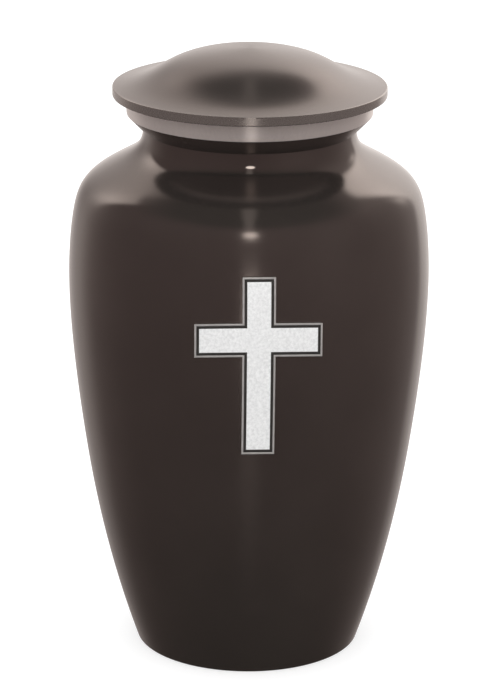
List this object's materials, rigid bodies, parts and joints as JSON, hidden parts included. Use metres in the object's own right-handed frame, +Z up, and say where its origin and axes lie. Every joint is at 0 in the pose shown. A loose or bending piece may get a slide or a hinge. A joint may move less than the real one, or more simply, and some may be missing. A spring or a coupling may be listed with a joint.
{
  "type": "cremation urn",
  "caption": "Tapering round-shouldered metal urn with a collared neck, a lift-off saucer lid with a low dome, and a raised Latin cross applied to the front.",
  "frame": {"origin": "middle of the flat underside that the urn stands on", "axes": "+Z up along the lathe axis, the front with the cross faces -Y, +X to the right of someone facing the front"},
  "size_m": [0.1562, 0.1572, 0.267],
  "materials": {
    "slate_lacquer": "dark warm slate tinted lacquer over finely turned metal, glossy, brightest polish on the neck, lighter satin on the collar",
    "slate_lid": "the same dark warm slate lacquer over finely turned metal, with a satin turned rim band",
    "emblem_silver": "frosted pale silver field with fine grain, bright bevelled border, dark sunken channel"
  },
  "bodies": {
    "root": {"body": "slate_lacquer", "lid": "slate_lid", "cross_emblem": "emblem_silver"}
  },
  "joints": []
}
